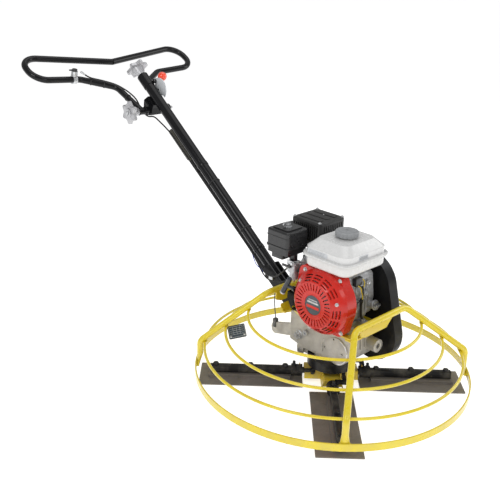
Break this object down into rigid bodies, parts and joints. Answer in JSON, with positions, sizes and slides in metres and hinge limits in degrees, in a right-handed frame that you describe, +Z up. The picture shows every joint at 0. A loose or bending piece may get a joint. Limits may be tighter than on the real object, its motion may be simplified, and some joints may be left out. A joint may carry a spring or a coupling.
{
  "type": "power trowel",
  "caption": "Walk-behind power trowel: ring guard, bladed rotor under a worm gearbox, small petrol engine and a tilting loop handlebar.",
  "frame": {"origin": "bottom centre of the whole machine, on the floor; the rotor axis stands 0.445 m in front of it", "axes": "+Z up, +Y away from the operator, +X to the operator's right"},
  "size_m": [0.9599, 1.852, 1.0149],
  "materials": {
    "guard_yellow": "gloss enamel with weld and edge wear",
    "frame_yellow": "gloss enamel",
    "rotor_yellow": "enamel, dusty",
    "black_enamel": "satin black enamel",
    "handle_black": "gloss black enamel",
    "blade_steel": "rolled spring steel, brownish grey",
    "cast_aluminium": "cast, slightly rough",
    "gear_casting": "cast and dusty",
    "bright_steel": "machined",
    "zinc_steel": "zinc plated",
    "cast_knob": "cast, tumbled",
    "belt_rubber": "matte",
    "cable_black": "matte sheath",
    "engine_red": "gloss red enamel",
    "tank_white": "gloss white enamel",
    "black_plastic": "moulded, fine grain",
    "grip_plastic": "dark blue-grey",
    "ball_red": "polished",
    "label_grey": "printed plate, blank",
    "spring_brown": "dull olive-grey coat",
    "exhaust_black": "heat-resistant matte"
  },
  "bodies": {
    "frame": {"guard_hoop": "guard_yellow", "guard_rings": "guard_yellow", "front_bail": "guard_yellow", "rear_bail": "guard_yellow", "deck_plate": "frame_yellow", "bail_brackets": "frame_yellow", "label_plate": "label_grey", "gearbox_housing": "gear_casting", "dust_shroud": "black_enamel", "v_belt": "belt_rubber", "belt_cover": "black_enamel", "pitch_cable": "zinc_steel", "handle_tube": "handle_black", "lower_tube": "handle_black", "spring_tube": "spring_brown", "handle_bracket": "black_enamel", "throttle_quadrant": "zinc_steel", "control_cables": "cable_black", "engine_block": "cast_aluminium", "cylinder_head": "cast_aluminium", "fan_cover": "engine_red", "fuel_tank": "tank_white", "air_cleaner_base": "black_plastic", "air_cleaner_cover": "black_plastic", "muffler": "exhaust_black", "muffler_guard": "exhaust_black", "carburettor": "cast_aluminium", "frame_fasteners": "zinc_steel"},
    "crank": {"crankshaft": "bright_steel", "clutch_pulley": "bright_steel"},
    "worm": {"worm_shaft": "bright_steel", "gearbox_pulley": "bright_steel"},
    "rotor": {"output_shaft": "bright_steel", "spider": "rotor_yellow"},
    "pressure_plate": {"pressure_plate": "black_enamel"},
    "thrust_cap": {"thrust_cap": "bright_steel"},
    "yoke": {"yoke_lever": "gear_casting"},
    "pitch_knob": {"pitch_handwheel": "cast_knob"},
    "handlebar": {"handlebar": "handle_black", "stop_switch": "zinc_steel"},
    "clamp_knob": {"clamp_knob": "cast_knob"},
    "stop_lever": {"stop_lever": "black_plastic"},
    "throttle": {"throttle_lever": "ball_red"},
    "starter": {"starter_grip": "grip_plastic"},
    "fuel_cap": {"fuel_cap": "black_plastic"},
    "air_nut": {"air_cleaner_nut": "zinc_steel"},
    "choke": {"choke_lever": "black_plastic"},
    "oil_plug": {"oil_plug": "black_plastic"},
    "trowel_arm_1": {"arm_1": "black_enamel", "blade_1": "blade_steel", "blade_bolts_1": "black_enamel"},
    "trowel_arm_2": {"arm_2": "black_enamel", "blade_2": "blade_steel", "blade_bolts_2": "black_enamel"},
    "trowel_arm_3": {"arm_3": "black_enamel", "blade_3": "blade_steel", "blade_bolts_3": "black_enamel"},
    "trowel_arm_4": {"arm_4": "black_enamel", "blade_4": "blade_steel", "blade_bolts_4": "black_enamel"}
  },
  "joints": [
    {"name": "crank_spin", "type": "hinge", "parent": "frame", "child": "crank", "pos_m": [0, 0.472, 0.342], "axis": [1, 0, 0], "continuous": true},
    {"name": "worm_spin", "type": "hinge", "parent": "frame", "child": "worm", "pos_m": [0, 0.507, 0.152], "axis": [1, 0, 0], "continuous": true},
    {"name": "rotor_spin", "type": "hinge", "parent": "frame", "child": "rotor", "pos_m": [0, 0.445, 0.1], "axis": [0, 0, 1], "continuous": true},
    {"name": "pitch_knob_turn", "type": "hinge", "parent": "frame", "child": "pitch_knob", "pos_m": [0, -0.63782, 0.93854], "axis": [0, -0.788, 0.6157], "range_deg": [0, 2160]},
    {"name": "yoke_tilt", "type": "hinge", "parent": "frame", "child": "yoke", "pos_m": [0, 0.34, 0.088], "axis": [-1, 0, 0], "range_deg": [0, 6.78], "deforming": ["pitch_cable"]},
    {"name": "thrust_cap_slide", "type": "slide", "parent": "frame", "child": "thrust_cap", "axis": [0, 0, -1], "range_m": [0, 0.0124]},
    {"name": "pressure_plate_slide", "type": "slide", "parent": "rotor", "child": "pressure_plate", "axis": [0, 0, -1], "range_m": [0, 0.0124]},
    {"name": "blade_pitch_1", "type": "hinge", "parent": "rotor", "child": "trowel_arm_1", "pos_m": [0.14142, 0.58642, 0.03], "axis": [-0.7071, -0.7071, 0], "range_deg": [0, 18]},
    {"name": "blade_pitch_2", "type": "hinge", "parent": "rotor", "child": "trowel_arm_2", "pos_m": [-0.14142, 0.58642, 0.03], "axis": [0.7071, -0.7071, 0], "range_deg": [0, 18]},
    {"name": "blade_pitch_3", "type": "hinge", "parent": "rotor", "child": "trowel_arm_3", "pos_m": [-0.14142, 0.30358, 0.03], "axis": [0.7071, 0.7071, 0], "range_deg": [0, 18]},
    {"name": "blade_pitch_4", "type": "hinge", "parent": "rotor", "child": "trowel_arm_4", "pos_m": [0.14142, 0.30358, 0.03], "axis": [-0.7071, 0.7071, 0], "range_deg": [0, 18]},
    {"name": "handlebar_tilt", "type": "hinge", "parent": "frame", "child": "handlebar", "pos_m": [0, -0.565, 0.812], "axis": [1, 0, 0], "range_deg": [-20, 25], "deforming": ["control_cables"]},
    {"name": "clamp_knob_turn", "type": "hinge", "parent": "handlebar", "child": "clamp_knob", "pos_m": [0.1, -0.565, 0.812], "axis": [1, 0, 0], "range_deg": [0, 720]},
    {"name": "stop_lever_squeeze", "type": "hinge", "parent": "handlebar", "child": "stop_lever", "pos_m": [0.224, -0.78824, 0.96042], "axis": [0, 0.2707, 0.9627], "range_deg": [-18, 0], "stiffness_Nm_per_rad": 0.02},
    {"name": "throttle_swing", "type": "hinge", "parent": "frame", "child": "throttle", "pos_m": [-0.03, -0.561, 0.892], "axis": [1, 0, 0], "range_deg": [-30, 45]},
    {"name": "starter_pull", "type": "slide", "parent": "frame", "child": "starter", "axis": [0, -1, 0], "range_m": [0, 0.3]},
    {"name": "fuel_cap_turn", "type": "hinge", "parent": "frame", "child": "fuel_cap", "pos_m": [0.01, 0.484, 0.56], "axis": [0, 0, 1], "range_deg": [0, 90]},
    {"name": "air_nut_turn", "type": "hinge", "parent": "frame", "child": "air_nut", "pos_m": [0.08, 0.285, 0.555], "axis": [0, 0, 1], "range_deg": [0, 720]},
    {"name": "choke_swing", "type": "hinge", "parent": "frame", "child": "choke", "pos_m": [0.104, 0.324, 0.42], "axis": [1, 0, 0], "range_deg": [-60, 0]},
    {"name": "oil_plug_turn", "type": "hinge", "parent": "frame", "child": "oil_plug", "pos_m": [-0.075, 0.5563, 0.30447], "axis": [0, 0.9762, 0.2169], "range_deg": [0, 360]}
  ],
  "couplings": [
    {"joint": "worm_spin", "follows": "crank_spin", "ratio": 0.65517},
    {"joint": "rotor_spin", "follows": "crank_spin", "ratio": 0.032759},
    {"joint": "yoke_tilt", "follows": "pitch_knob_turn", "ratio": 0.0031399},
    {"joint": "thrust_cap_slide", "follows": "pitch_knob_turn", "m_per_rad": 0.00032892},
    {"joint": "pressure_plate_slide", "follows": "pitch_knob_turn", "m_per_rad": 0.00032892},
    {"joint": "blade_pitch_1", "follows": "pitch_knob_turn", "ratio": 0.0083333},
    {"joint": "blade_pitch_2", "follows": "pitch_knob_turn", "ratio": 0.0083333},
    {"joint": "blade_pitch_3", "follows": "pitch_knob_turn", "ratio": 0.0083333},
    {"joint": "blade_pitch_4", "follows": "pitch_knob_turn", "ratio": 0.0083333}
  ]
}
